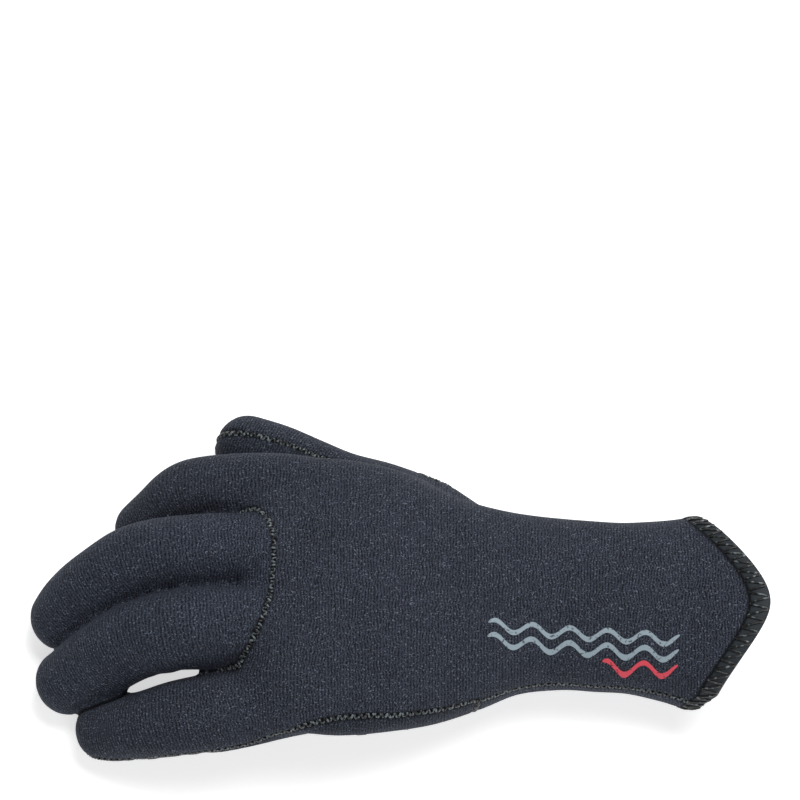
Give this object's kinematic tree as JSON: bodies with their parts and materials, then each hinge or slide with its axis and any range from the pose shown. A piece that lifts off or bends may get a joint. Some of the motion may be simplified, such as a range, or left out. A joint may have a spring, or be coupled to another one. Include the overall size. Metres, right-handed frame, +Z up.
{
  "type": "diving glove",
  "caption": "Left-hand neoprene diving glove with curled fingers, set-in knuckle panel, grip palm and pointed flared cuff, hollow for a hand.",
  "frame": {"origin": "centre of the glove's footprint on the surface it lies on", "axes": "+Z up, out of the back of the hand; fingers towards -X, cuff towards +X; thumb towards +Y"},
  "size_m": [0.259, 0.1272, 0.0495],
  "materials": {
    "neoprene_back": "matte",
    "neoprene_knuckle": "matte",
    "neoprene_palm": "matte",
    "hem_band": "satin"
  },
  "bodies": {
    "root": {"back_panel": "neoprene_back", "knuckle_panel": "neoprene_knuckle", "palm_panel": "neoprene_palm", "cuff_hem": "hem_band"}
  },
  "joints": []
}
